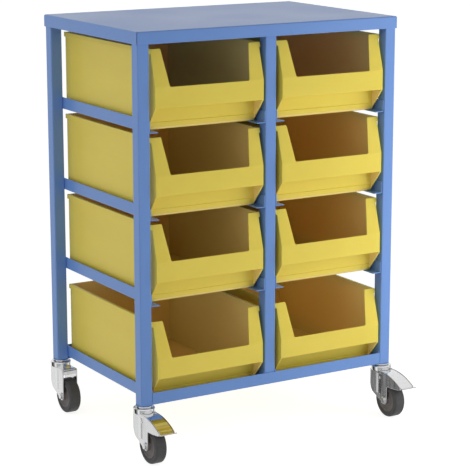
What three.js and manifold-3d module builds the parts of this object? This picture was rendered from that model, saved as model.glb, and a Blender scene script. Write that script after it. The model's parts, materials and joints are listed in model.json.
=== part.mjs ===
// Mobile bin cart: a welded steel frame with a folded tray on top, eight open-fronted
// plastic bins in two columns on angle runners, and four swivel castors, the front two braked.
// Millimetres, +Z up. The front faces -Y and the left side faces -X. The origin lies on the
// floor below the middle of the whole cart's box.
import * as THREE from 'three';
import { mergeVertices } from 'three/addons/utils/BufferGeometryUtils.js';
import Module from 'manifold-3d';

const wasm = await Module();
wasm.setup();

// Bins: everything around them is sized from these
const binLength = 392;
const binWidth = 246;
const binHeight = 160;
const binWall = 2.5;
const sillHeight = 87;
const bandBottom = 46;
const rimSetBack = 21;
const gussetFoot = 38;
const recessDepth = 34;
const mouthInsetLow = 33;
const mouthInsetHigh = 23;
const rimLipOut = 3;
const rimLipDrop = 10;
const footDrop = 15;
const footOut = 1.5;

// Room around each bin
const binSideGap = 9.7;
const binOverhang = 6;
const binBackMargin = 22;
const rowClearance = 13;
const lowRowClearance = 24.5;
const topClearance = 11.2;

// Frame stock
const tube = 25;
const tubeWall = 1.5;
const tubeCorner = 3;
const sheet = 2;
const trayLip = 25;
const trayCorner = 3;
const angleWall = 2;
const railLeg = 25;
const runnerLeg = 25;
const runnerLedge = 20;
const runnerLift = 4;

// Gaps: between welded faces, under a resting bin, between turning pieces, past a cut
const seam = 0.2;
const restGap = 0.3;
const runGap = 0.3;
const overrun = 5;

// Castors, stacked up from the floor: the wheel, the gap to the fork's crown, the crown's plate,
// the head with its ball races, and the flange ring below the post
const wheelDiameter = 75;
const wheelWidth = 25;
const castorTrail = 36;
const crownGap = 19;
const crownWall = 3;
const headHeight = 11;
const flangeThickness = 2.5;
const crownFoot = wheelDiameter + crownGap;
const crownTop = crownFoot + crownWall;
const headTop = crownTop + headHeight;
const flangeFoot = headTop + runGap;
const flangeTop = flangeFoot + flangeThickness;
const castorHeight = flangeTop + seam;

// Derived frame places
const columns = 2;
const bayWidth = binWidth + 2 * binSideGap;
const frameWidth = columns * bayWidth + (columns + 1) * tube;
const frameDepth = binLength - binOverhang + binBackMargin;
const frontFace = -frameDepth / 2;
const backFace = frameDepth / 2;
const sidePostX = (frameWidth - tube) / 2;
const cornerPostY = (frameDepth - tube) / 2;
const rowPitch = binHeight + rowClearance;
const runnerSetBack = angleWall + seam;
const lowestRunner = castorHeight + runnerLift;
const thirdRunner = lowestRunner + rowPitch + lowRowClearance;
const runnerHeights = [thirdRunner + 2 * rowPitch, thirdRunner + rowPitch, thirdRunner, lowestRunner];
const ledgeTop = angleWall + restGap;
const trayTop = runnerHeights[0] + ledgeTop + binHeight + topClearance + trayLip;
const postTop = trayTop - sheet - seam;
const trayWidth = frameWidth + 2 * (sheet + seam);
const trayDepth = frameDepth + 2 * (sheet + seam);

// Finishes
const finish = (color, roughness, metalness) =>
  new THREE.MeshStandardMaterial({ color, roughness, metalness });
const paint = () => finish(0x6f93cf, 0.42, 0.1);
const yellow = () => finish(0xe6d24f, 0.45, 0);
const zinc = () => finish(0xd6d8da, 0.22, 1);
const rubber = () => finish(0x46464a, 0.75, 0);
const hubPlastic = () => finish(0x6a6466, 0.6, 0);

const cart = new THREE.Group();

// A shape moved so that it runs along X, with its own x and y as the cart's Y and Z
function alongX(shape, from, to, curveSegments = 6) {
  const run = new THREE.ExtrudeGeometry(shape, { depth: to - from, bevelEnabled: false, curveSegments });
  const turn = new THREE.Matrix4().set(0, 0, 1, from, 1, 0, 0, 0, 0, 1, 0, 0, 0, 0, 0, 1);
  return run.applyMatrix4(turn);
}

// A shape moved so that it runs along Y, with its own x and y as the cart's X and Z
function alongY(shape, from, to, curveSegments = 6) {
  const run = new THREE.ExtrudeGeometry(shape, { depth: to - from, bevelEnabled: false, curveSegments });
  const turn = new THREE.Matrix4().set(1, 0, 0, 0, 0, 0, -1, to, 0, 1, 0, 0, 0, 0, 0, 1);
  return run.applyMatrix4(turn);
}

// A shape standing on the height from and reaching to the height to
function alongZ(shape, from, to, curveSegments = 6) {
  const run = new THREE.ExtrudeGeometry(shape, { depth: to - from, bevelEnabled: false, curveSegments });
  return run.translate(0, 0, from);
}

function outline(points) {
  return new THREE.Shape(points.map(([across, up]) => new THREE.Vector2(across, up)));
}

// A rectangle with round corners about a middle point
function roundedRectangle(width, depth, radius) {
  const right = width / 2;
  const back = depth / 2;
  const shape = new THREE.Shape();
  shape.absarc(right - radius, back - radius, radius, 0, Math.PI / 2);
  shape.absarc(radius - right, back - radius, radius, Math.PI / 2, Math.PI);
  shape.absarc(radius - right, radius - back, radius, Math.PI, 1.5 * Math.PI);
  shape.absarc(right - radius, radius - back, radius, 1.5 * Math.PI, 2 * Math.PI);
  return shape;
}

// A profile of [radius, height] points turned about the Z axis, or about the X axis
function turned(profile, segments) {
  const points = profile.map(([radius, height]) => new THREE.Vector2(radius, height));
  return new THREE.LatheGeometry(points, segments).rotateX(Math.PI / 2);
}

function turnedAcross(profile, segments) {
  return turned(profile, segments).rotateY(Math.PI / 2);
}

// A solid that can be joined and cut: shared corners merged, flat triangles on an axis left out
function solidOf(geometry) {
  const bare = geometry.clone();
  bare.deleteAttribute('normal');
  bare.deleteAttribute('uv');
  const merged = mergeVertices(bare);
  const corners = merged.index.array;
  const triVerts = [];
  for (let i = 0; i < corners.length; i += 3) {
    const [a, b, c] = corners.slice(i, i + 3);
    if (a !== b && b !== c && c !== a) triVerts.push(a, b, c);
  }
  const vertProperties = new Float32Array(merged.attributes.position.array);
  return new wasm.Manifold(
    new wasm.Mesh({ numProp: 3, vertProperties, triVerts: new Uint32Array(triVerts) }));
}

function geometryOf(solid) {
  const { vertProperties, triVerts } = solid.getMesh();
  const geometry = new THREE.BufferGeometry();
  geometry.setAttribute('position', new THREE.BufferAttribute(new Float32Array(vertProperties), 3));
  geometry.setIndex(new THREE.BufferAttribute(new Uint32Array(triVerts), 1));
  geometry.computeVertexNormals();
  return geometry;
}

function addPiece(group, name, geometry, material, [x, y, z] = [0, 0, 0]) {
  const piece = new THREE.Mesh(geometry, material);
  piece.name = name;
  piece.position.set(x, y, z);
  group.add(piece);
}

// Top tray: one sheet folded down on all four sides over the heads of the posts
function trayGeometry() {
  const lipFoot = trayTop - trayLip;
  const outer = solidOf(alongZ(roundedRectangle(trayWidth, trayDepth, trayCorner), lipFoot, trayTop));
  const inside = roundedRectangle(trayWidth - 2 * sheet, trayDepth - 2 * sheet, trayCorner - sheet);
  const hollow = solidOf(alongZ(inside, lipFoot - overrun, trayTop - sheet));
  return geometryOf(outer.subtract(hollow));
}
addPiece(cart, 'top_tray', trayGeometry(), paint());

// Posts: square tube, open at both ends
function postGeometry(bottom) {
  const section = roundedRectangle(tube, tube, tubeCorner);
  const bore = tube - 2 * tubeWall;
  section.holes.push(roundedRectangle(bore, bore, tubeCorner - tubeWall));
  return alongZ(section, bottom, postTop, 3);
}
for (const [side, x] of [['left', -sidePostX], ['right', sidePostX]]) {
  addPiece(cart, `post_front_${side}`, postGeometry(castorHeight), paint(), [x, -cornerPostY, 0]);
  addPiece(cart, `post_back_${side}`, postGeometry(castorHeight), paint(), [x, cornerPostY, 0]);
}

// The two middle posts stand on the flat legs of the bottom rails, behind their upright legs
const middlePostY = cornerPostY - runnerSetBack;
const middlePostFoot = castorHeight + angleWall + seam;
addPiece(cart, 'post_front_centre', postGeometry(middlePostFoot), paint(), [0, -middlePostY, 0]);
addPiece(cart, 'post_back_centre', postGeometry(middlePostFoot), paint(), [0, middlePostY, 0]);

// Bottom rails: angle between the corner posts, upright leg outside, flat leg below
function railGeometry(face, inward) {
  const foot = castorHeight;
  const section = outline([
    [face, foot],
    [face + inward * railLeg, foot],
    [face + inward * railLeg, foot + angleWall],
    [face + inward * angleWall, foot + angleWall],
    [face + inward * angleWall, foot + railLeg],
    [face, foot + railLeg],
  ]);
  const reach = sidePostX - tube / 2 - seam;
  return alongX(section, -reach, reach);
}
addPiece(cart, 'rail_bottom_front', railGeometry(frontFace, 1), paint());
addPiece(cart, 'rail_bottom_back', railGeometry(backFace, -1), paint());

// Runners: angle welded to the inner faces of the posts, with its flat leg as the ledge
// that carries one side of a bin
function runnerGeometry(face, inward, foot) {
  const back = face + inward * seam;
  const section = outline([
    [back, foot],
    [back + inward * runnerLedge, foot],
    [back + inward * runnerLedge, foot + angleWall],
    [back + inward * angleWall, foot + angleWall],
    [back + inward * angleWall, foot + runnerLeg],
    [back, foot + runnerLeg],
  ]);
  return alongY(section, frontFace + runnerSetBack, backFace - runnerSetBack);
}
const bayEdge = frameWidth / 2 - tube;
const runnerFaces = [
  ['left_outer', -bayEdge, 1],
  ['left_inner', -tube / 2, -1],
  ['right_inner', tube / 2, 1],
  ['right_outer', bayEdge, -1],
];
runnerHeights.forEach((foot, row) => {
  for (const [place, face, inward] of runnerFaces) {
    addPiece(cart, `runner_${place}_${row + 1}`, runnerGeometry(face, inward, foot), paint());
  }
});

// Bins: moulded box with a low sill in front, a recess to grip it by below the sill band, side
// walls that run on beside the recess as gussets, and a lip along the rim.
// Y runs from the front plane backwards and Z from the bin's underside.
function binGeometry() {
  const halfWidth = binWidth / 2;
  const slopeShare = (binHeight - rimLipDrop - sillHeight) / (binHeight - sillHeight);
  const inHalf = halfWidth - binWall;
  const inBack = binLength - binWall;
  const nose = recessDepth + binWall;
  const shell = solidOf(alongX(outline([
    [gussetFoot, 0],
    [binLength, 0],
    [binLength, binHeight],
    [rimSetBack, binHeight],
    [0, sillHeight],
    [0, bandBottom],
  ]), -halfWidth, halfWidth));
  const rim = solidOf(alongX(outline([
    [rimSetBack * slopeShare, binHeight - rimLipDrop],
    [binLength, binHeight - rimLipDrop],
    [binLength, binHeight],
    [rimSetBack, binHeight],
  ]), -halfWidth - rimLipOut, halfWidth + rimLipOut));
  const cavity = solidOf(alongX(outline([
    [gussetFoot + binWall, binWall],
    [inBack, binWall],
    [inBack, binHeight + overrun],
    [rimSetBack + binWall, binHeight + overrun],
    [rimSetBack + binWall, binHeight],
    [binWall, sillHeight],
    [binWall, bandBottom + binWall],
    [nose, bandBottom + binWall],
    [nose, footDrop],
  ]), -inHalf, inHalf));
  const recess = solidOf(alongX(outline([
    [-overrun, -overrun],
    [recessDepth + footOut, -overrun],
    [recessDepth - footOut, footDrop],
    [recessDepth, footDrop],
    [recessDepth, bandBottom],
    [-overrun, bandBottom],
  ]), -inHalf, inHalf));
  const mouth = solidOf(alongY(outline([
    [mouthInsetLow - halfWidth, sillHeight],
    [halfWidth - mouthInsetLow, sillHeight],
    [halfWidth - mouthInsetHigh, binHeight],
    [halfWidth - mouthInsetHigh, binHeight + overrun],
    [mouthInsetHigh - halfWidth, binHeight + overrun],
    [mouthInsetHigh - halfWidth, binHeight],
  ]), -overrun, rimSetBack + binWall + overrun));
  return geometryOf(shell.add(rim).subtract(cavity).subtract(recess).subtract(mouth));
}
const binX = (tube + bayWidth) / 2;
for (const [side, x] of [['left', -binX], ['right', binX]]) {
  runnerHeights.forEach((foot, row) => {
    const place = [x, frontFace - binOverhang, foot + ledgeTop];
    addPiece(cart, `bin_${side}_${row + 1}`, binGeometry(), yellow(), place);
  });
}

// Castor stem: a square plug pressed into the post, a flange ring below the tube and the
// kingpin with its riveted end, which holds the fork. Heights here are above the floor.
const flangeRadius = 17.5;
const kingpinRadius = 5;
const rivetRadius = 8;
const rivetHeight = 3;
const plugHeight = 30;
const plugClearance = 0.2;

function stemGeometry() {
  const plugWidth = tube - 2 * (tubeWall + plugClearance);
  const rivetTop = crownFoot - runGap;
  const section = roundedRectangle(plugWidth, plugWidth, tubeCorner - tubeWall);
  const plug = solidOf(alongZ(section, flangeFoot, castorHeight + plugHeight, 2));
  const pin = solidOf(turned([
    [0, rivetTop - rivetHeight],
    [rivetRadius, rivetTop - rivetHeight],
    [rivetRadius, rivetTop],
    [kingpinRadius, rivetTop],
    [kingpinRadius, flangeFoot],
    [flangeRadius, flangeFoot],
    [flangeRadius, flangeTop],
    [0, flangeTop],
  ], 24));
  return geometryOf(plug.add(pin));
}

// Castor fork: a pressed head that holds the ball races, a flat crown below it and two cheeks
// that come down to bosses at the axle. Y and Z are measured from the kingpin and the floor.
const axleHeight = wheelDiameter / 2;
const axleRadius = 4;
const bossRadius = 9.5;
const forkGap = 31;
const cheekWall = 2;
const cheekBack = 15;
const cheekKnee = 29;
const headRadius = 22.5;
const headShoulder = 5;
const headNeck = 17;
const skirtDrop = 11;
const crownSetBack = 0.5;
const heelGap = 1;
const armRise = 1.5;
const armDrop = 26;
const armReach = 95;
const pivotBack = 22;
const pivotDrop = 13;
const pivotRadius = 2.5;
const forkHalf = forkGap / 2 + cheekWall;
const pivotHeight = crownTop - pivotDrop;
const pedalHeel = headRadius + heelGap;

// On the braked forks the cheeks reach forward as arms, and the pedal's hood follows their upper
// edge. Points are shares of the reach from heel to tip and of the drop below the heel.
const armTopShares = [[0, 0], [0.3, 0.055], [0.45, 0.125], [0.6, 0.25], [0.8, 0.48], [1, 0.75]];
const armFootShares = [[0, 1.12], [0.6, 1.1], [0.87, 1.02], [0.97, 0.92]];

function armPoint([reachShare, dropShare]) {
  return [
    -pedalHeel - reachShare * (armReach - pedalHeel),
    crownTop + armRise - dropShare * armDrop,
  ];
}

// A round rod across the wheel, or the cutter for a hole that takes one
function rodAcross(radius, half, segments = 14) {
  return solidOf(turnedAcross([[0, -half], [radius, -half], [radius, half], [0, half]], segments));
}

function cheekShape(braked) {
  const front = -castorTrail - bossRadius;
  const heelTangent = Math.PI / 3;
  const shape = new THREE.Shape();
  shape.moveTo(cheekBack, crownTop);
  shape.lineTo(cheekBack, crownTop - cheekKnee);
  shape.quadraticCurveTo(cheekBack, axleHeight + bossRadius,
    cheekBack - castorTrail / 2, axleHeight + bossRadius / 2);
  shape.lineTo(bossRadius * Math.cos(heelTangent) - castorTrail,
    axleHeight - bossRadius * Math.sin(heelTangent));
  shape.absarc(-castorTrail, axleHeight, bossRadius, -heelTangent, -Math.PI, true);
  if (braked) {
    const [notch, ...foot] = armFootShares.map(armPoint);
    shape.lineTo(front, notch[1]);
    foot.forEach(([y, z]) => shape.lineTo(y, z));
    armTopShares.map(armPoint).reverse().forEach(([y, z]) => shape.lineTo(y, z));
    shape.lineTo(0, crownTop + armRise);
    shape.lineTo(0, crownTop);
  } else {
    shape.lineTo(front, crownTop);
  }
  return shape;
}

// A plate across both cheeks, from one Y to another and down to a foot
function crossPlate(from, to, foot) {
  return solidOf(alongX(outline([[from, foot], [to, foot], [to, crownTop], [from, crownTop]]),
    -forkHalf, forkHalf));
}

function forkGeometry(braked) {
  const boreRadius = kingpinRadius + runGap;
  const crownFront = braked ? crownSetBack - headRadius : -castorTrail - bossRadius;
  const shape = cheekShape(braked);
  const leftCheek = solidOf(alongX(shape, -forkHalf, cheekWall - forkHalf, 5));
  const rightCheek = solidOf(alongX(shape, forkHalf - cheekWall, forkHalf, 5));
  const headFoot = crownTop - crownWall / 2;
  const head = solidOf(turned([
    [0, headFoot],
    [headRadius - crownWall, headFoot],
    [headRadius, crownTop + crownWall / 2],
    [headRadius, headTop - headShoulder],
    [(headRadius + headNeck) / 2, headTop - headShoulder / 3],
    [headNeck, headTop],
    [0, headTop],
  ], 28));
  const bore = solidOf(turned([
    [0, crownFoot - overrun],
    [boreRadius, crownFoot - overrun],
    [boreRadius, headTop + overrun],
    [0, headTop + overrun],
  ], 20));
  const axleHole = rodAcross(axleRadius + runGap, forkHalf + overrun);
  const fork = crossPlate(crownFront, cheekBack, crownFoot)
    .add(leftCheek)
    .add(rightCheek)
    .add(head)
    .subtract(bore)
    .subtract(axleHole.translate([0, -castorTrail, axleHeight]));
  if (braked) {
    const pinHole = rodAcross(pivotRadius + runGap, forkHalf + overrun);
    return geometryOf(fork.subtract(pinHole.translate([0, -pivotBack, pivotHeight])));
  }
  return geometryOf(fork.add(crossPlate(crownFront, crownFront + cheekWall, crownTop - skirtDrop)));
}

// Axle: a hexagon bolt through the cheeks and the hub, with its nut on the other end
const boltHeadRadius = 6.5;
const boltHeadHeight = 4;

function axleGeometry() {
  const cheek = forkHalf + runGap;
  const nut = solidOf(turnedAcross([
    [0, cheek],
    [boltHeadRadius, cheek],
    [boltHeadRadius, cheek + boltHeadHeight],
    [0, cheek + boltHeadHeight],
  ], 6));
  return geometryOf(rodAcross(axleRadius, cheek + boltHeadHeight, 20).add(nut).add(nut.mirror([1, 0, 0])));
}

// Wheel: a moulded hub with a boss around the axle and a rim, inside a rubber tyre
const hubRadius = 26;
const hubBossRadius = 9.5;
const hubBossWidth = 30;
const webHalf = 9;
const webInset = 2.5;
const rimHalf = 11.5;
const rimThickness = 3.5;
const tyreShoulder = 4;
const tyreCrown = 1;
const tyreFlats = 40;

function hubGeometry() {
  const bore = axleRadius + runGap;
  const boss = hubBossWidth / 2;
  const rimInner = hubRadius - rimThickness;
  return turnedAcross([
    [bore, -boss],
    [hubBossRadius, -boss],
    [hubBossRadius + webInset, -webHalf],
    [rimInner, -webHalf],
    [rimInner, -rimHalf],
    [hubRadius, -rimHalf],
    [hubRadius, rimHalf],
    [rimInner, rimHalf],
    [rimInner, webHalf],
    [hubBossRadius + webInset, webHalf],
    [hubBossRadius, boss],
    [bore, boss],
    [bore, -boss],
  ], 24);
}

// The tread's flats lie on the wheel's diameter, and one of them rests on the floor
function tyreGeometry() {
  const halfFlat = Math.PI / tyreFlats;
  const inner = hubRadius + seam;
  const outer = wheelDiameter / 2 / Math.cos(halfFlat);
  const half = wheelWidth / 2;
  return turnedAcross([
    [inner, -rimHalf],
    [outer - tyreShoulder, -half],
    [outer - tyreCrown, tyreShoulder / 2 - half],
    [outer, tyreShoulder - half],
    [outer, half - tyreShoulder],
    [outer - tyreCrown, half - tyreShoulder / 2],
    [outer - tyreShoulder, half],
    [inner, rimHalf],
    [inner, -rimHalf],
  ], tyreFlats).rotateX(halfFlat);
}

// Brake pedal: a curved sheet between the fork's arms with its edges turned down inside them, a
// wider toe in front of their tips, and a shoe below it that presses on the tyre. It turns on a
// pin that is riveted through both cheeks.
const pedalSheet = 2;
const hoodSink = 1;
const flangeWall = 1.8;
const lugRadius = 6.5;
const toeGap = 2;
const toeWidth = 7;
const toeRise = 1.5;
const toeHalf = 18.5;
const shoeGap = 4.5;
const shoeBack = 36;
const shoeFront = 46;
const shoeHalf = 9;
const pinHeadRadius = 4.5;
const pinHeadHeight = 1.5;
const pedalHalf = forkGap / 2 - runGap;
const pedalFlangeShares = [[0.96, 0.96], [0.76, 0.73], [0.51, 0.48]];

// Each turned-down edge follows the hood and ends in a round lug about the pin
function pedalFlange(top) {
  const [heelY, heelZ] = top[0];
  const lugStart = 1.1 * Math.PI;
  const lugEnd = 2.5 * Math.PI;
  const shape = new THREE.Shape();
  shape.moveTo(heelY, heelZ);
  [...top.slice(1), ...pedalFlangeShares.map(armPoint)].forEach(([y, z]) => shape.lineTo(y, z));
  shape.absarc(-pivotBack, pivotHeight, lugRadius, lugStart, lugEnd, false);
  shape.lineTo(heelY, heelZ - pedalSheet);
  return shape;
}

// The toe's plate from a given Y to its front edge, which stands a little higher than its back
function toePlate([toeY, toeZ], back) {
  const toeFront = toeY - toeGap - toeWidth;
  const slope = toeRise / (toeGap + toeWidth);
  const backFoot = toeZ + (toeY - back) * slope - pedalSheet;
  const frontFoot = toeZ + toeRise - pedalSheet;
  return outline([
    [toeFront, frontFoot],
    [back, backFoot],
    [back, backFoot + pedalSheet],
    [toeFront, frontFoot + pedalSheet],
  ]);
}

function pedalGeometry() {
  const top = armTopShares.map(armPoint).map(([y, z]) => [y, z - hoodSink]);
  const under = top.map(([y, z]) => [y, z - pedalSheet]).reverse();
  const tip = top[top.length - 1];
  const hood = outline([...under, ...top]);
  const flange = pedalFlange(top);
  const shoeRadius = wheelDiameter / 2 + shoeGap;
  const shoeAngles = [shoeFront, shoeBack].map((reach) => Math.acos((castorTrail - reach) / shoeRadius));
  const shoe = new THREE.Shape();
  shoe.absarc(-castorTrail, axleHeight, shoeRadius, ...shoeAngles, true);
  shoe.lineTo(-shoeBack, crownTop - pedalSheet);
  shoe.lineTo(-shoeFront, crownTop - pedalSheet);
  const pinHole = rodAcross(pivotRadius + runGap, pedalHalf + overrun);
  return geometryOf(solidOf(alongX(hood, -pedalHalf, pedalHalf))
    .add(solidOf(alongX(toePlate(tip, tip[0] + pedalSheet), -pedalHalf, pedalHalf)))
    .add(solidOf(alongX(toePlate(tip, tip[0] - toeGap), -toeHalf, toeHalf)))
    .add(solidOf(alongX(flange, -pedalHalf, flangeWall - pedalHalf)))
    .add(solidOf(alongX(flange, pedalHalf - flangeWall, pedalHalf)))
    .add(solidOf(alongX(shoe, -shoeHalf, shoeHalf, 3)))
    .subtract(pinHole.translate([0, -pivotBack, pivotHeight])));
}

function pedalPinGeometry() {
  const seat = forkHalf + runGap;
  return turnedAcross([
    [0, -seat - pinHeadHeight],
    [pinHeadRadius, -seat - pinHeadHeight],
    [pinHeadRadius, -seat],
    [pivotRadius, -seat],
    [pivotRadius, seat],
    [pinHeadRadius, seat],
    [pinHeadRadius, seat + pinHeadHeight],
    [0, seat + pinHeadHeight],
  ], 12);
}

for (const [end, y, braked] of [['front', -cornerPostY, true], ['back', cornerPostY, false]]) {
  for (const [side, x] of [['left', -sidePostX], ['right', sidePostX]]) {
    const castor = new THREE.Group();
    castor.position.set(x, y, 0);
    const axle = [0, -castorTrail, axleHeight];
    const name = `castor_${end}_${side}`;
    addPiece(castor, `${name}_stem`, stemGeometry(), zinc());
    addPiece(castor, `${name}_fork`, forkGeometry(braked), zinc());
    addPiece(castor, `${name}_axle`, axleGeometry(), zinc(), axle);
    addPiece(castor, `${name}_hub`, hubGeometry(), hubPlastic(), axle);
    addPiece(castor, `${name}_tyre`, tyreGeometry(), rubber(), axle);
    if (braked) {
      addPiece(castor, `${name}_pedal`, pedalGeometry(), zinc());
      addPiece(castor, `${name}_pedal_pin`, pedalPinGeometry(), zinc(), [0, -pivotBack, pivotHeight]);
    }
    cart.add(castor);
  }
}

// The box's middle: the toes of the pedals reach furthest forward, the castor heads furthest back
const reachForward = cornerPostY + armReach + toeGap + toeWidth;
const reachBack = cornerPostY + headRadius;
cart.position.y = (reachForward - reachBack) / 2;

export default cart;
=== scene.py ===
import json
import math

import bmesh
import bpy
import numpy as np
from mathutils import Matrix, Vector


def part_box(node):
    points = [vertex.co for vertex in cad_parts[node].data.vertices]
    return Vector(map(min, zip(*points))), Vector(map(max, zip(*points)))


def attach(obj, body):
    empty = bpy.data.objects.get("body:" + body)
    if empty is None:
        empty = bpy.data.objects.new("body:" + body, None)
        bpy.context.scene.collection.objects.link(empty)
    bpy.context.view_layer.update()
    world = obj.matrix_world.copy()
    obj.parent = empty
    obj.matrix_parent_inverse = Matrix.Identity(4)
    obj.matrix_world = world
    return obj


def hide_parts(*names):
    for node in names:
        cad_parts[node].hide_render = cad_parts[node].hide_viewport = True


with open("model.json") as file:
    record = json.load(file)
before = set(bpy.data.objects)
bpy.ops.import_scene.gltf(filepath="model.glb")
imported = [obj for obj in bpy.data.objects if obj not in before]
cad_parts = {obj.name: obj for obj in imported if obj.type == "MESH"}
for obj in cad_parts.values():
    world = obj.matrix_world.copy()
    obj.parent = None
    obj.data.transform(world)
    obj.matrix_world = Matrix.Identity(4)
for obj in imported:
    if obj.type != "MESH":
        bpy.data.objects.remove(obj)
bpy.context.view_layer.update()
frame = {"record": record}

# Camera: stands in front of the cart and to its left, a little above the tray, and looks slightly
# down, with a long lens as for a catalogue picture. Its place and lens fit the cart's corners.
camera = bpy.data.objects.new("camera", bpy.data.cameras.new("camera"))
camera.location = (-1.9012, -3.1760, 1.2169)
camera.rotation_euler = (math.radians(90 - 12.499), 0, math.radians(-31.0735))
camera.data.lens = 137.23
camera.data.sensor_width = 36
camera.data.clip_end = 100
bpy.context.scene.collection.objects.link(camera)
bpy.context.scene.camera = camera
bpy.context.scene.view_settings.view_transform = "Standard"


# Painted steel frame: square tube posts, folded angle and one folded tray, welded together and
# powder-coated light blue. The coat has a faint orange peel and softens every bend.
class Value:
    """A socket's output in a material. Sums, differences and products add Math nodes."""

    def __init__(self, finish, socket):
        self.finish, self.socket = finish, socket

    def __add__(self, other):
        return self.finish.maths("ADD", self, other)

    def __sub__(self, other):
        return self.finish.maths("SUBTRACT", self, other)

    def __rsub__(self, other):
        return self.finish.maths("SUBTRACT", other, self)

    def __mul__(self, other):
        return self.finish.maths("MULTIPLY", self, other)

    __radd__, __rmul__ = __add__, __mul__


class Finish:
    """A material and its nodes. node() adds one node: its settings come first, then its inputs,
    each a number, a colour or another node's value."""

    def __init__(self, name, tree=None):
        if tree is None:
            self.material = bpy.data.materials.new(name)
            self.material.use_nodes = True
            tree = self.material.node_tree
        self.tree = tree
        tree.nodes.clear()

    def node(self, kind, settings=(), inputs=(), output=0):
        made = self.tree.nodes.new(kind)
        for key, value in dict(settings).items():
            setattr(made, key, value)
        for key, value in dict(inputs).items():
            if isinstance(value, Value):
                self.tree.links.new(value.socket, made.inputs[key])
            else:
                made.inputs[key].default_value = value
        return Value(self, made.outputs[output]) if made.outputs else None

    def maths(self, operation, first, second):
        """A Math node on two values or numbers."""
        return self.node("ShaderNodeMath", {"operation": operation}, {0: first, 1: second})

    def place(self):
        """Where a point is on the object, in metres."""
        return self.node("ShaderNodeTexCoord", output="Object")

    def noise(self, scale, detail=3, roughness=0.55, stretch=None):
        """Soft noise, with scale waves to the metre. stretch makes it longer along an axis."""
        where = self.place()
        if stretch:
            where = self.node("ShaderNodeMapping", inputs={"Vector": where, "Scale": stretch})
        return self.node("ShaderNodeTexNoise", inputs={
            "Vector": where, "Scale": scale, "Detail": detail, "Roughness": roughness})

    def between(self, share, first, second):
        """A colour between two colours."""
        return self.node("ShaderNodeMix", {"data_type": "RGBA"}, {
            0: share, 6: first if isinstance(first, Value) else (*first, 1),
            7: second if isinstance(second, Value) else (*second, 1)}, 2)

    def clamp(self, value, low, high):
        """A value scaled so that low becomes 0 and high becomes 1, and held between them."""
        return self.node("ShaderNodeMapRange", inputs={0: value, 1: low, 2: high})

    def bump(self, height, distance, strength):
        """A normal from a height between 0 and 1, distance metres deep."""
        return self.node("ShaderNodeBump", inputs={
            "Height": height, "Distance": distance, "Strength": strength})

    def close(self, **inputs):
        """Ends the material in one Principled surface and gives the material."""
        named = {key.replace("_", " "): value for key, value in inputs.items()}
        surface = self.node("ShaderNodeBsdfPrincipled", inputs=named)
        self.node("ShaderNodeOutputMaterial", inputs={"Surface": surface})
        return self.material


def powder_coat():
    """Light blue coat: a slow drift in colour, and an orange peel with waves about 1.5 mm wide."""
    f = Finish("light_blue_powder_coat")
    drift = f.clamp(f.noise(5, 2), 0.3, 0.7)
    peel = f.noise(650, 2, 0.5)
    speck = f.clamp(f.noise(2400, 2, 0.6), 0.35, 0.75)
    colour = f.between(drift, (0.145, 0.285, 0.640), (0.158, 0.303, 0.670))
    return f.close(Base_Color=colour, Roughness=0.30 + 0.07 * drift + 0.05 * speck,
                   Normal=f.bump(peel, 0.00012, 0.5), IOR=1.5)


def rounded(corners, reach, steps=4):
    """A closed outline with soft corners, or an array of outlines: each corner is a parabola that
    leaves its two sides at the corner's reach, or at half of the shorter side where that is less.
    It has steps + 1 points a corner, which fall together where the reach is 0."""
    p = np.asarray(corners, float)
    before, after = np.roll(p, 1, -2) - p, np.roll(p, -1, -2) - p
    back = np.linalg.norm(before, axis=-1, keepdims=True)
    ahead = np.linalg.norm(after, axis=-1, keepdims=True)
    reach = np.broadcast_to(reach, p.shape[-2])[:, None]
    t = np.minimum(reach, 0.499 * np.minimum(back, ahead))
    start = (p + before / np.maximum(back, 1e-9) * t)[..., None, :]
    end = (p + after / np.maximum(ahead, 1e-9) * t)[..., None, :]
    s = np.linspace(0, 1, steps + 1)[:, None]
    curve = (1 - s) ** 2 * start + 2 * s * (1 - s) * p[..., None, :] + s ** 2 * end
    return curve.reshape(*p.shape[:-2], -1, 2)


def inset(outline, depth):
    """A counter-clockwise outline moved inwards by depth: each point moves along the mean of its
    two sides' normals, and further where they meet at an angle."""
    side = np.roll(outline, -1, 0) - outline
    normal = np.stack([-side[:, 1], side[:, 0]], 1) / np.linalg.norm(side, axis=1, keepdims=True)
    before = np.roll(normal, 1, 0)
    return outline + depth * (normal + before) / (1 + (normal * before).sum(1, keepdims=True))


# A bar's points hold its outline's two coordinates and then the place along the bar. For a bar
# along each axis, this is the order that makes them x, y and z.
ORDER = {"x": [2, 0, 1], "y": [0, 2, 1], "z": [0, 1, 2]}


def bar(outline, low, high, axis, ease=0.6, ease_high=None):
    """An outline carried along an axis from low to high. At each end it draws in by ease times
    1 - sin while it still has ease times 1 - cos to go, a quarter turn that rounds the edge. The
    ends are closed. The outline runs either way round: the sign of its area, summed over its
    sides, says which."""
    ease_high = ease if ease_high is None else ease_high
    outline = outline[np.linalg.norm(outline - np.roll(outline, 1, 0), axis=1) > 1e-6]
    after = np.roll(outline, -1, 0)
    if (outline[:, 0] * after[:, 1] - after[:, 0] * outline[:, 1]).sum() < 0:
        outline = outline[::-1]
    turn = np.linspace(0, np.pi / 2, 4)
    back = turn[::-1]
    along = np.concatenate([low + ease * (1 - np.cos(turn)), high - ease_high * (1 - np.cos(back))])
    depth = np.concatenate([ease * (1 - np.sin(turn)), ease_high * (1 - np.sin(back))])
    rings = np.stack([inset(outline, d) if d > 1e-9 else outline for d in depth])
    places = np.broadcast_to(along[:, None, None], (*rings.shape[:2], 1))
    return np.concatenate([rings, places], 2)[:, :, ORDER[axis]], False, True


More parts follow.
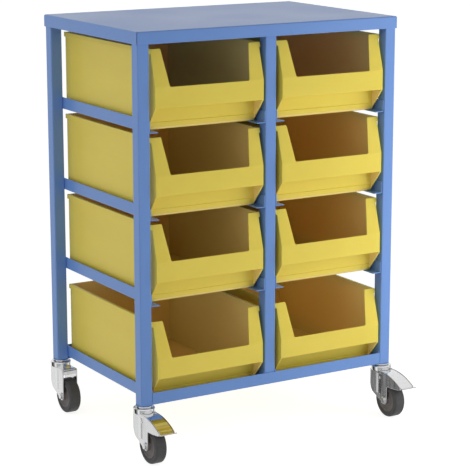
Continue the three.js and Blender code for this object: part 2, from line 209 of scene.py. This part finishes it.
def shell(bm, points, wrap_rows, wrap_columns):
    """Adds one closed shell: a grid of points [row, column] joined by quads, with its first and
    last row filled where the rows don't wrap. Points that coincide are merged."""
    rows, columns = points.shape[:2]
    r, c = np.meshgrid(np.arange(rows if wrap_rows else rows - 1),
                       np.arange(columns if wrap_columns else columns - 1), indexing="ij")
    r2, c2 = (r + 1) % rows, (c + 1) % columns
    quads = np.stack([r * columns + c, r * columns + c2, r2 * columns + c2, r2 * columns + c], -1)
    faces = quads.reshape(-1, 4).tolist()
    if not wrap_rows and wrap_columns:
        faces += [list(range(columns)), list(range((rows - 1) * columns, rows * columns))]
    part = bpy.data.meshes.new("part")
    part.from_pydata((points.reshape(-1, 3) / 1000).tolist(), [], faces)
    work = bmesh.new()
    work.from_mesh(part)
    bmesh.ops.remove_doubles(work, verts=work.verts, dist=2e-6)
    bmesh.ops.dissolve_degenerate(work, edges=work.edges, dist=1e-6)
    bmesh.ops.recalc_face_normals(work, faces=work.faces)
    work.to_mesh(part)
    work.free()
    bm.from_mesh(part)
    bpy.data.meshes.remove(part)


bodies = frame["record"]["behaviour"]["bodies"]
body_of = {node: body for body, nodes in bodies.items() for node in nodes}


def piece(name, shells, material, node, smooth=40):
    """One object made of closed shells, in place of a CAD node, riding on that node's body. Edges
    that turn by more than smooth degrees stay sharp."""
    bm = bmesh.new()
    for points, wrap_rows, wrap_columns in shells:
        shell(bm, points, wrap_rows, wrap_columns)
    mesh = bpy.data.meshes.new(name)
    bm.to_mesh(mesh)
    bm.free()
    mesh.shade_smooth()
    mesh.set_sharp_from_angle(angle=math.radians(smooth))
    mesh.materials.append(material)
    made = bpy.data.objects.new(name, mesh)
    bpy.context.scene.collection.objects.link(made)
    made.modifiers.new("flat_faces_stay_flat", "WEIGHTED_NORMAL").keep_sharp = True
    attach(made, body_of[node])
    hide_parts(node)
    return made


def corners_of(node):
    """A CAD node's lowest and highest corner at rest, in millimetres."""
    low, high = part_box(node)
    return np.array(low) * 1000, np.array(high) * 1000


def rectangle(low, high, depth, corner, steps):
    """A node's outline from above: the rectangle between its corners, moved inwards by depth, with
    its own corners rounded."""
    (x0, y0), (x1, y1) = low[:2] + depth, high[:2] - depth
    return rounded([(x0, y0), (x1, y0), (x1, y1), (x0, y1)], corner, steps)


coat = powder_coat()

# Posts: square steel tube with drawn corners, cut off square and open at both ends. Four stand at
# the corners and two between the columns of bins, all welded to the rails, runners and tray.
TUBE_WALL, TUBE_CORNER, BORE_CORNER = 1.5, 2.3, 0.8
CUT_EDGE = 0.3  # how far the coat rounds a cut edge
for place in ("front_left", "front_right", "back_left", "back_right", "front_centre", "back_centre"):
    low, high = corners_of("post_" + place)
    outside = rectangle(low, high, 0, TUBE_CORNER, 6)
    bore = rectangle(low, high, TUBE_WALL, BORE_CORNER, 6)
    rings = [(outside, low[2] + CUT_EDGE), (outside, high[2]), (bore, high[2]), (bore, low[2]),
             (inset(outside, CUT_EDGE), low[2])]
    tube = np.stack([np.column_stack([ring, np.full(len(ring), z)]) for ring, z in rings])
    piece("tube_" + place, [(tube, True, True)], coat, "post_" + place)


# Angle: the bottom rails and the runners are steel sheet folded to an L and welded to the posts.
# The rails stand with their upright leg outside, the runners with theirs against the posts.
ANGLE_WALL, BEND_OUTSIDE, BEND_INSIDE = 2, 2.6, 1.2
OUTER_EDGE, INNER_EDGE = 0.5, 0.7


def angle(foot, toe, back, top):
    """The L as an outline: its foot lies at height foot from the upright leg's back to toe, and the
    leg stands up to top. The outer bend has the largest radius."""
    inner = back + (ANGLE_WALL if toe > back else -ANGLE_WALL)
    points = [(back, foot), (toe, foot), (toe, foot + ANGLE_WALL), (inner, foot + ANGLE_WALL),
              (inner, top), (back, top)]
    reach = [BEND_OUTSIDE, OUTER_EDGE, INNER_EDGE, BEND_INSIDE, INNER_EDGE, OUTER_EDGE]
    return rounded(points, reach, 5)


for end in ("front", "back"):
    node = "rail_bottom_" + end
    low, high = corners_of(node)
    back, toe = (low[1], high[1]) if end == "front" else (high[1], low[1])
    section = angle(low[2], toe, back, high[2])
    piece("rail_angle_" + end, [bar(section, low[0], high[0], "x", CUT_EDGE)], coat, node)
for row in range(1, 5):
    for place in ("left_outer", "left_inner", "right_inner", "right_outer"):
        node = "runner_%s_%d" % (place, row)
        low, high = corners_of(node)
        leg_left = place in ("left_outer", "right_inner")
        back, toe = (low[0], high[0]) if leg_left else (high[0], low[0])
        section = angle(low[2], toe, back, high[2])
        piece("runner_angle_%s_%d" % (place, row), [bar(section, low[1], high[1], "y", CUT_EDGE)],
              coat, node)

# Tray: one steel sheet, its four sides folded down over the posts and welded to them. The lips
# meet at the corners in an open slit, and each fold has a soft bend.
TRAY_SHEET, TRAY_BEND, TRAY_SLIT, DECK_CORNER = 2, 3.2, 0.9, 0.8
low, high = corners_of("top_tray")
middle, half = (low + high) / 2, (high - low) / 2
top, foot = high[2], low[2]
turn = np.linspace(0, np.pi / 2, 7)
outer_in = TRAY_BEND * (1 - np.cos(turn))
outer_z = top - TRAY_BEND * (1 - np.sin(turn))
inner_bend = TRAY_BEND - TRAY_SHEET
inner_in = TRAY_SHEET + inner_bend * (1 - np.cos(turn[::-1]))
inner_z = top - TRAY_BEND + inner_bend * np.sin(turn[::-1])
depth = np.concatenate([[CUT_EDGE, 0], outer_in, inner_in, [TRAY_SHEET, TRAY_SHEET - CUT_EDGE]])
height = np.concatenate([[foot, foot + CUT_EDGE], outer_z, inner_z, [foot + CUT_EDGE, foot]])


def lip(side):
    """One folded side: the fold's section as inset and height, carried along the side from mitre
    to mitre. Its length at each point is the side's, less twice the inset and the slit."""
    along, out = (0, 1) if side in ("front", "back") else (1, 0)
    sign = -1 if side in ("front", "left") else 1
    points = np.zeros((2, len(depth), 3))
    for end, way in enumerate((-1, 1)):
        points[end, :, along] = middle[along] + way * (half[along] - depth - TRAY_SLIT)
        points[end, :, out] = middle[out] + sign * (half[out] - depth)
        points[end, :, 2] = height
    return points, False, True


deck = bar(rectangle(low, high, TRAY_BEND, DECK_CORNER, 3), top - TRAY_SHEET, top, "z", 0)
lips = [lip(side) for side in ("front", "back", "left", "right")]
piece("tray_sheet", [deck, *lips], coat, "top_tray")


# Bins: injection-moulded yellow polypropylene tubs that stand loose on the runners. A low sill
# leaves the front open, the wall below it steps back as a grip, and a lip runs along both sides.
def moulded_plastic():
    """Yellow polypropylene: a fine spark-eroded grain, faint flow marks from the gate, and a slightly
    duller patch here and there where tubs rub. On the faces marked inside the colour is painted
    light:
    a paler brown that stands in for the browner bounce light within the tub's cavity."""
    f = Finish("yellow_moulded_plastic")
    flow = f.clamp(f.noise(9, 3, stretch=(1, 0.4, 2)), 0.3, 0.7)
    grain = f.noise(1500, 2, 0.6)
    rub = f.clamp(f.noise(30, 4, 0.7), 0.52, 0.75)
    # Painted bounce light: the faces marked inside take a paler brown colour that stands in for the
    # browner light bounced around within the tub's cavity.
    painted_bounce_light = f.node("ShaderNodeAttribute", {"attribute_name": "inside"}, output=2)
    yellow = f.between(flow, (0.785, 0.622, 0.088), (0.820, 0.654, 0.100))
    return f.close(Base_Color=f.between(painted_bounce_light, yellow, (0.93, 0.72, 0.29)),
                   Roughness=0.40 + 0.10 * rub + 0.04 * flow, Normal=f.bump(grain, 0.00006, 0.5),
                   IOR=1.49, Subsurface_Weight=0.2, Subsurface_Radius=(1, 0.35, 0.12),
                   Subsurface_Scale=0.007)


# The tub is as long and as high as the CAD bin, and its half width leaves room for the lips.
# Heights run up from its underside, and depths back from its front edge.
LIP_OUT, LIP_DROP, LIP_ROOT = 3, 10, 1.8
low, high = corners_of("bin_left_1")
width, LENGTH, HEIGHT = np.round(high - low, 2)
HALF = width / 2 - LIP_OUT
WALL, EDGE, SIDE_EASE = 2.5, 1.1, 0.7
SILL, BAND_FOOT, SET_BACK, KNEE_DROP = 87, 46, 21, 6
MOUTH_LOW, MOUTH_HIGH = 90, 100
RECESS, CREASE, GROOVE = 34, 15, 0.9
FOOT, FOOT_RISE, FOOT_LEAN = 38, 5, 0.6


def tub():
    """The tub's shells, from the middle of its front edge and its underside. The floor, front and
    back are one closed section across the tub, whose front rises to the rim's height at each x.
    Each side is a plate with the tub's outline, a little lower than the rim, and each lip a bar
    along it. A list of reaches beside an outline rounds its corners in the same order."""
    flat = HALF - WALL
    rim = rounded([(-flat, HEIGHT), (-MOUTH_HIGH, HEIGHT), (-MOUTH_LOW, SILL), (MOUTH_LOW, SILL),
                   (MOUTH_HIGH, HEIGHT), (flat, HEIGHT)], [0, 2.5, 4, 4, 2.5, 0], 6)
    x, h = rim.T
    lean = SET_BACK * np.maximum(0, h - SILL) / (HEIGHT - SILL)
    knee = np.minimum(SILL, h - KNEE_DROP)
    section = [(LENGTH, 0), (FOOT, 0), (RECESS + FOOT_LEAN, FOOT_RISE),
               (RECESS - FOOT_LEAN, CREASE - 1), (RECESS + GROOVE, CREASE), (RECESS, CREASE + 1),
               (RECESS, BAND_FOOT), (0, BAND_FOOT), (0, knee), (lean, h), (lean + WALL, h),
               (WALL, knee), (WALL, BAND_FOOT + WALL), (RECESS + WALL, BAND_FOOT + WALL),
               (RECESS + WALL, CREASE), (FOOT + WALL, WALL), (LENGTH - WALL, WALL),
               (LENGTH - WALL, HEIGHT), (LENGTH, HEIGHT)]
    reach = [3, 1.5, 1.5, 0.6, 0.5, 0.5, 1.5, 1.8, 2, EDGE, EDGE, 2, 1, 2, 2, 3, 4, EDGE, EDGE]
    corners = np.zeros((len(rim), len(section), 2))
    for number, place in enumerate(section):
        corners[:, number, 0], corners[:, number, 1] = place
    lines = rounded(corners, reach)
    across = np.broadcast_to(x[:, None, None], (*lines.shape[:2], 1))
    ribbon = (np.concatenate([across, lines], 2), False, True)
    side_top = HEIGHT - 0.1
    side = rounded([(FOOT, 0), (LENGTH, 0), (LENGTH, side_top), (SET_BACK, side_top), (0, SILL),
                    (0, BAND_FOOT)], [1.5, 3, 1.2, 1.2, 2, 1.2])
    root, out, under = HALF - LIP_ROOT, HALF + LIP_OUT, HEIGHT - LIP_DROP
    lip_line = rounded([(root, under), (out, under), (out, HEIGHT), (root, HEIGHT)],
                       [0.2, EDGE, EDGE, 0.2])
    front = SET_BACK * (lip_line[:, 1] - SILL) / (HEIGHT - SILL)
    shells = [ribbon]
    for way in (-1, 1):
        if way < 0:
            shells.append(bar(side, -HALF, -flat, "x", SIDE_EASE, 0))
        else:
            shells.append(bar(side, flat, HALF, "x", 0, SIDE_EASE))
        ends = [np.column_stack([way * lip_line[:, 0], y, lip_line[:, 1]])
                for y in (front, np.full(len(front), LENGTH))]
        shells.append((np.stack(ends), False, True))
    return shells


def mark_inside(mesh, home):
    """Writes 1 on the faces that line the tub's cavity and 0 on the others, as "inside": the mask
    where the plastic paints its bounce light. A face counts when its middle lies more than half a
    wall inside the tub's outer faces. Below the rim half a millimetre less is enough."""
    middles = np.empty(3 * len(mesh.polygons))
    mesh.polygons.foreach_get("center", middles)
    x, y, z = (1000 * middles.reshape(-1, 3) - home).T
    lean = SET_BACK * np.clip((z - SILL) / (HEIGHT - SILL), 0, 1)
    front = np.where(z < BAND_FOOT + WALL / 2, RECESS, lean)
    from_rim = HEIGHT + 0.5 - z
    depth = np.minimum.reduce([HALF - abs(x), y - front, LENGTH - y, z, from_rim])
    marks = mesh.attributes.new("inside", "FLOAT", "FACE")
    marks.data.foreach_set("value", (depth > WALL / 2).astype(np.float32))


def moved(shells, place):
    """The same shells at another place."""
    return [(points + np.asarray(place), a, b) for points, a, b in shells]


plastic = moulded_plastic()
tub_shells = tub()
for side in ("left", "right"):
    for row in range(1, 5):
        node = "bin_%s_%d" % (side, row)
        low, high = corners_of(node)
        home = np.array([(low[0] + high[0]) / 2, low[1], low[2]])
        made = piece("tub_%s_%d" % (side, row), moved(tub_shells, home), plastic, node,
                     30)
        mark_inside(made.data, home)


# Castors: zinc-plated forks of pressed steel that turn on a riveted kingpin below a plug in each
# post, with rubber tyres on plastic wheel centres. The front two have brake pedals. The cheeks
# show the faint upright marks of the press, while the heads and the pedals are polished.
def bright_zinc(name, roughness, marks, ripple):
    """Bright plating: upright streaks in colour and roughness, and a ripple of the pressed sheet,
    ripple metres deep."""
    f = Finish(name)
    streak = f.clamp(f.noise(220, 3, 0.6, (1, 1, 0.08)), 0.3, 0.7)
    waves = f.noise(70, 2, 0.5, (1, 1, 0.15))
    colour = f.between(streak, (0.69, 0.695, 0.702), (0.76, 0.76, 0.764))
    return f.close(Base_Color=colour, Metallic=1.0, Roughness=roughness + marks * streak,
                   Normal=f.bump(waves, ripple, 0.3))


def wheel_plastic():
    """Brown-grey moulded wheel centre with a fine grain and a little dust."""
    f = Finish("wheel_centre_plastic")
    grain = f.noise(900, 3, 0.6)
    dust = f.clamp(f.noise(60, 3), 0.4, 0.75)
    colour = f.between(dust, (0.128, 0.112, 0.110), (0.165, 0.148, 0.142))
    return f.close(Base_Color=colour, Roughness=0.50 + 0.1 * dust,
                   Normal=f.bump(grain, 0.00008, 0.6))


def tyre_rubber():
    """Dark grey rubber, a little dusty, with a fine grain."""
    f = Finish("grey_tyre_rubber")
    grain = f.noise(1100, 3, 0.6)
    dust = f.clamp(f.noise(40, 4), 0.4, 0.8)
    colour = f.between(dust, (0.050, 0.050, 0.053), (0.078, 0.076, 0.078))
    return f.close(Base_Color=colour, Roughness=0.55 + 0.12 * dust,
                   Normal=f.bump(grain, 0.0001, 0.6))


sheet_zinc = bright_zinc("bright_zinc_sheet", 0.12, 0.12, 0.0004)
polished_zinc = bright_zinc("polished_zinc", 0.05, 0.04, 0.0001)
hub_finish, tyre_finish = wheel_plastic(), tyre_rubber()

# Castor sizes: x runs across the wheel, y backwards from the kingpin and z up from the floor. How
# far the wheel trails and how high its axle is come from the CAD.
def middle_of(node):
    """The middle of a CAD node's box at rest, in millimetres."""
    low, high = corners_of(node)
    return (low + high) / 2


wheel_middle, stem_middle = (middle_of("castor_front_left_" + which) for which in ("hub", "stem"))
TRAIL = round(stem_middle[1] - wheel_middle[1], 2)
AXLE_Z = round(wheel_middle[2], 2)
CROWN_FOOT, CROWN_TOP, SKIRT_FOOT = 94, 97, 86
FORK_HALF, CHEEK, BOSS, BACK = 17.5, 2, 9.5, 15
HEEL, TIP, ARM_TOP, ARM_FALL, ARM_BEND = -23.5, -95, 98.5, 19.5, 2.15
PIN_Y, PIN_Z, LUG = -22, 84, 6.5


def turned(profile, axis, closed=True, sectors=64):
    """A profile of radius and height turned about an axis, one ring of points for each of its
    points. A closed profile makes a ring, an open one ends on the axis."""
    p = np.asarray(profile, float)
    a = np.linspace(0, 2 * np.pi, sectors, endpoint=False)
    heights = np.broadcast_to(p[:, 1:], (len(p), sectors))
    rings = np.stack([p[:, :1] * np.cos(a), p[:, :1] * np.sin(a), heights], 2)
    if axis == "x":
        rings = rings[:, :, [2, 0, 1]]
    return rings, closed, True


def mirrored(profile):
    """A profile of radius and height from one side of a wheel to the other."""
    return profile + [(r, -x) for r, x in profile[::-1]]


def stem():
    """Square plug in the post, flange ring below it, kingpin and rivet: a bar and one turning."""
    half, plug_top = 10.8, 141
    kingpin, rivet, rivet_foot, rivet_top = 5, 8, 90.7, 93.7
    radius, bottom, top = 17.5, 108.3, 110.8
    plug = rounded([(-half, -half), (half, -half), (half, half), (-half, half)], 2)
    ring = [(0, rivet_foot), (rivet - 2, rivet_foot), (rivet, rivet_foot + 0.9), (rivet, rivet_top),
            (kingpin, rivet_top), (kingpin, bottom), (radius - 1.1, bottom),
            (radius - 0.2, bottom + 0.4), (radius, bottom + 1), (radius, top - 0.9),
            (radius - 0.3, top - 0.3), (radius - 1.1, top), (0, top)]
    return [bar(plug, top, plug_top, "z", 0, 1), turned(ring, "z", False)]


def head():
    """The pressed head over the ball races: an upright drum with a rolled foot and a round
    shoulder, open in the middle for the kingpin."""
    bore, radius, bottom, top = 5.3, 22.5, 95.5, 108
    round_in, round_up = 2.9, 2.7
    turn = np.linspace(0, np.pi / 2, 8)
    shoulder = zip(radius - round_in * (1 - np.cos(turn)),
                   top - 0.9 - round_up * (1 - np.sin(turn)))
    return turned([(bore, bottom), (radius - 2, bottom), (radius - 0.6, bottom + 0.7),
                   (radius - 0.1, bottom + 1.9), *shoulder, (radius - 4.9, top - 0.8),
                   (radius - 5.9, top - 0.4), (radius - 6.3, top), (bore, top)], "z")


def arm_edge(steps, sunk=0.0):
    """An arm's upper edge as y and z, from heel to tip: the fall grows with a power of the share
    of the way that is gone."""
    share = np.linspace(0, 1, steps)
    height = ARM_TOP - sunk - ARM_FALL * share ** ARM_BEND
    return np.column_stack([HEEL + share * (TIP - HEEL), height])


def cheek(braked):
    """A cheek seen from the side, as y and z: a straight back edge, a sweep down to the round
    boss at the axle, and up the front to the crown, or out along the arm that holds the pedal.
    The sweep is a parabola and the boss an arc."""
    start, bend, end = (BACK, 68), (BACK, 47), (-3, 42.25)
    t = np.linspace(0, 1, 9)[:, None]
    sweep = (1 - t) ** 2 * start + 2 * t * (1 - t) * bend + t ** 2 * end
    a = np.linspace(-np.pi / 3, -np.pi, 15)
    boss = np.column_stack([-TRAIL + BOSS * np.cos(a), AXLE_Z + BOSS * np.sin(a)])
    if braked:
        foot = [(-45.5, 66), (-47.5, 69.2), (-66.4, 69.9), (-85.7, 72), (-92.9, 74.6)]
        front = np.concatenate([foot, arm_edge(14)[::-1], [(0, ARM_TOP), (0, CROWN_TOP - 1)]])
    else:
        front = [(0.3 - TRAIL - BOSS, CROWN_TOP - 1)]
    return rounded(np.concatenate([[(BACK, CROWN_TOP - 1)], sweep, boss, front]), 1.5, 2)


def rib(way):
    """A shallow upright rib pressed into a cheek: one cosine wave across, a third of a millimetre
    high, which runs out at both sides. It starts inside the cheek's wall."""
    middle, half, rise, foot, top = -17, 10, 0.32, 48, 92
    turn = np.linspace(-np.pi, np.pi, 21)
    out = FORK_HALF - 0.02 + rise / 2 * (1 + np.cos(turn))
    root = way * (FORK_HALF - 1.5)
    wave = np.column_stack([way * out, middle + half * turn / np.pi])
    section = np.concatenate([wave, [(root, middle + half), (root, middle - half)]])
    return bar(section, foot, top, "z", 0.4)


def fork(braked):
    """The bent sheet: a crown with a soft bend at each side, two cheeks whose outer edges are
    rolled over, and on the fork without a brake a short skirt across the front."""
    outline = cheek(braked)
    half, leg, inner = FORK_HALF, CROWN_FOOT - 1, FORK_HALF - CHEEK
    front = PIN_Y if braked else -TRAIL - BOSS + 1
    bend = rounded([(-half, leg), (-half, CROWN_TOP), (half, CROWN_TOP), (half, leg), (inner, leg),
                    (inner, CROWN_FOOT), (-inner, CROWN_FOOT), (-inner, leg)],
                   [0.2, 2.4, 2.4, 0.2, 0.2, 0.6, 0.6, 0.2])
    skin = half - 0.03
    shells = [bar(bend, front, BACK, "y", 0.6), bar(outline, -skin, -inner, "x", 1, 0.3),
              bar(outline, inner, skin, "x", 0.3, 1), rib(-1), rib(1)]
    if not braked:
        y = -TRAIL - BOSS
        skirt = rounded([(y, SKIRT_FOOT), (y + 1.8, CROWN_TOP), (y + 5, CROWN_TOP),
                         (y + 5, CROWN_FOOT), (y + 3.6, CROWN_FOOT), (y + 2, SKIRT_FOOT)],
                        [0.8, 2.4, 0.2, 0.2, 0.6, 0.8])
        shells.append(bar(skirt, -half, half, "x", 1.4))
    return shells


def hexagon(radius, low, high):
    """A nut or bolt head along x whose corners are turned off at both faces."""
    a = np.arange(6) * np.pi / 3
    flat = rounded(np.column_stack([radius * np.cos(a), radius * np.sin(a)]), 0.6, 2)
    return bar(flat, low, high, "x", 0.6)


def axle():
    """Bolt through cheeks and hub: shank, washers, and a hexagon head and nut alike."""
    shank = [(0, 20.8), (3.4, 20.8), (4, 20.2)]
    washer = [(0, 17.6), (7.7, 17.6), (8.1, 17.9), (7.8, 18.4), (6.9, 18.6), (0, 18.6)]
    nut_radius, nut_near, nut_far = 6.5, 18.5, 21.6
    shells = [turned(mirrored(shank), "x", False, 32)]
    for way in (-1, 1):
        shells.append(hexagon(nut_radius, *sorted((way * nut_near, way * nut_far))))
        shells.append(turned([(r, way * x) for r, x in washer], "x", False, 40))
    return shells


def hub():
    """The wheel centre: a boss between the cheeks, a flat web with two fine rings, and the rim."""
    side = [(4.3, 15), (9, 15), (9.5, 14.6), (10.2, 10.6), (11.4, 9.6), (15.5, 9.2), (16, 9.6),
            (17, 9.6), (17.5, 9.2), (20, 9.4), (21.6, 10.2), (22.6, 11.2), (23.2, 11.5),
            (25.6, 11.5), (26, 11.1)]
    return [turned(mirrored(side), "x")]


def tyre():
    """The tread: a flat crown with round shoulders, and a fine bead line by the hub. Its radius is
    the height of the axle, because it stands on the floor."""
    half, bend = 12.5, 4.6
    turn = np.linspace(0, np.pi / 2, 9)
    shoulder = zip(AXLE_Z - bend * (1 - np.sin(turn)), half - bend * (1 - np.cos(turn)))
    side = [(26.2, 11.5), (27, 12), (28.2, 12.1), (28.6, 11.8), (29.2, 12.2), *shoulder]
    return [turned(mirrored(side), "x", True, 96)]


def pedal():
    """The brake pedal: a hood between the arms, a millimetre below their edges, two turned-down
    flanges that end in lugs about the pin, a wider toe in front that rises by one in six, and the
    shoe, whose sole is an arc about the axle."""
    half, flange = 15.2, 1.8
    shoe_radius, shoe_length, shoe_top, shoe_half = 42, 10, 94, 9
    top = arm_edge(16, 1)
    tip_y, tip_z = top[-1]
    run = np.concatenate([top, [(tip_y - 2, tip_z + 0.25)]])
    hood = rounded(np.concatenate([run, (run - [0, 2])[::-1]]), 0.7, 2)
    a = np.linspace(1.1 * np.pi, 2.5 * np.pi, 16)
    lug = np.column_stack([PIN_Y + LUG * np.cos(a), PIN_Z + LUG * np.sin(a)])
    under = [(-92.1, 73.5), (-77.8, 79.5), (-60, 86)]
    side = np.concatenate([top[:-1] - [0, 0.5], under, lug, [(HEEL, 95.5)]])
    a = np.linspace(np.pi / 2, np.arccos(-shoe_length / shoe_radius), 8)
    sole = np.column_stack([-TRAIL + shoe_radius * np.cos(a), AXLE_Z + shoe_radius * np.sin(a)])
    shoe = np.concatenate([sole, [(-TRAIL - shoe_length, shoe_top), (-TRAIL, shoe_top)]])
    back, middle, front, wide = tip_y + 2.5, tip_y - 2, tip_y - 9, 18.5
    toe = rounded([(-half, back), (-half, middle), (-wide, middle), (-wide, front), (wide, front),
                   (wide, middle), (half, middle), (half, back)], [0, 0.6, 1, 1.6, 1.6, 1, 0.6, 0])
    plate = bar(toe, tip_z - 2, tip_z, "z", 0.6)
    plate[0][:, :, 2] += (tip_y - plate[0][:, :, 1]) / 6
    return [bar(hood, -half, half, "x", 0.4), plate, bar(side, -half, flange - half, "x", 0.6, 0.2),
            bar(side, half - flange, half, "x", 0.2, 0.6), bar(shoe, -shoe_half, shoe_half, "x", 0.5)]


def pedal_pin():
    """The riveted pin: a flat round head on each side, joined through the cheeks."""
    side = [(0, 18), (2, 18), (3.1, 17.9), (3.4, 17.6), (3.3, 17.4), (2.5, 17.4)]
    return [turned(mirrored(side), "x", False, 32)]


for end in ("front", "back"):
    for side in ("left", "right"):
        name = "castor_%s_%s_" % (end, side)
        kingpin = middle_of(name + "stem") * [1, 1, 0]
        wheel = kingpin + [0, -TRAIL, AXLE_Z]
        pin = kingpin + [0, PIN_Y, PIN_Z]
        braked = end == "front"
        piece(name + "plug", moved(stem(), kingpin), polished_zinc, name + "stem")
        piece(name + "yoke", moved(fork(braked), kingpin), sheet_zinc, name + "fork")
        piece(name + "head", moved([head()], kingpin), polished_zinc, name + "fork")
        piece(name + "bolt", moved(axle(), wheel), sheet_zinc, name + "axle", 30)
        piece(name + "centre", moved(hub(), wheel), hub_finish, name + "hub", 30)
        piece(name + "tread", moved(tyre(), wheel), tyre_finish, name + "tyre")
        if braked:
            piece(name + "brake_hood", moved(pedal(), kingpin), polished_zinc, name + "pedal")
            piece(name + "brake_rivet", moved(pedal_pin(), pin), sheet_zinc, name + "pedal_pin")


# Floor and light: a wide pale floor keeps the cart's shadow and glows faintly, so it also lights
# the cart from below. Soft light comes from the left and from above, and a large soft lamp stands
# in front on the right.
WHITE = (1, 1, 1, 1)
f = Finish("pale_floor")
matt = f.node("ShaderNodeBsdfDiffuse", inputs={"Color": (0.9, 0.9, 0.9, 1)})
glow = f.node("ShaderNodeEmission", inputs={"Color": WHITE, "Strength": 1.7})
share = 0.21 + 0.29 * f.node("ShaderNodeLightPath", output="Is Camera Ray")
mixed = f.node("ShaderNodeMixShader", inputs={0: share, 1: matt, 2: glow})
f.node("ShaderNodeOutputMaterial", inputs={"Surface": mixed})
half = 15
corners = [(-half, -half, 0), (half, -half, 0), (half, half, 0), (-half, half, 0)]
floor_mesh = bpy.data.meshes.new("floor")
floor_mesh.from_pydata(corners, [], [(0, 1, 2, 3)])
floor_mesh.materials.append(f.material)
floor = bpy.data.objects.new("floor", floor_mesh)
floor.visible_glossy = False
bpy.context.scene.collection.objects.link(floor)

# Polished parts see neither floor nor lamp but a white surround that is grey low down behind the
# camera and dark in three upright bands at the sides. The camera sees plain white.
world = bpy.data.worlds.new("studio")
world.use_nodes = True
bpy.context.scene.world = world
w = Finish("studio", world.node_tree)
glossy, straight, through = (w.node("ShaderNodeLightPath", output="Is %s Ray" % kind)
                             for kind in ("Glossy", "Camera", "Transmission"))
way = w.node("ShaderNodeTexCoord", output="Generated")
x, y, z = (w.node("ShaderNodeSeparateXYZ", inputs={0: way}, output=i) for i in range(3))
# The camera looks along (ahead_x, ahead_y), level. The turn is measured from straight behind it.
ahead_x, ahead_y = 0.515, 0.857
turn = (180 / math.pi) * w.maths("ARCTAN2", ahead_y * x - ahead_x * y, -ahead_y * y - ahead_x * x)


def sector(low, high, edge):
    """1 between two turns in degrees and 0 outside them, with a soft edge on each side."""
    return w.clamp(turn, low - edge, low + edge) * w.clamp(turn, high + edge, high - edge)


left, above = w.maths("MAXIMUM", -1 * x, 0.0), w.maths("MAXIMUM", z, 0.0)
level = 0.08 + 1.05 * left * left + 0.28 * above
studio = 1 - 0.5 * sector(-44, 88, 5) * w.clamp(z, 0.03, -0.09)
for low, high, dark in ((-82, -70, 0.85), (110, 124, 0.85), (-116, -84, 0.95)):
    studio = studio - dark * sector(low, high, 2)
shade = level + (studio - level) * glossy
colour = w.node("ShaderNodeCombineXYZ", inputs={0: shade, 1: shade, 2: shade})
picked = w.node("ShaderNodeMix", {"data_type": "RGBA", "clamp_factor": True},
                {0: straight + through, 6: colour, 7: WHITE}, 2)
background = w.node("ShaderNodeBackground", inputs={"Color": picked, "Strength": 1.0})
w.node("ShaderNodeOutputWorld", inputs={"Surface": background})

# The lamp lights the fronts of the bins, more on the right than on the left.
lamp = bpy.data.objects.new("soft_lamp", bpy.data.lights.new("soft_lamp", "AREA"))
lamp.data.shape = "RECTANGLE"
lamp.data.size = 0.8
lamp.data.size_y = 1.0
lamp.data.energy = 8.0
lamp.location = (0.88, -0.76, 0.50)
lamp.rotation_euler = (math.radians(88), 0, math.radians(50))
lamp.visible_glossy = False
bpy.context.scene.collection.objects.link(lamp)
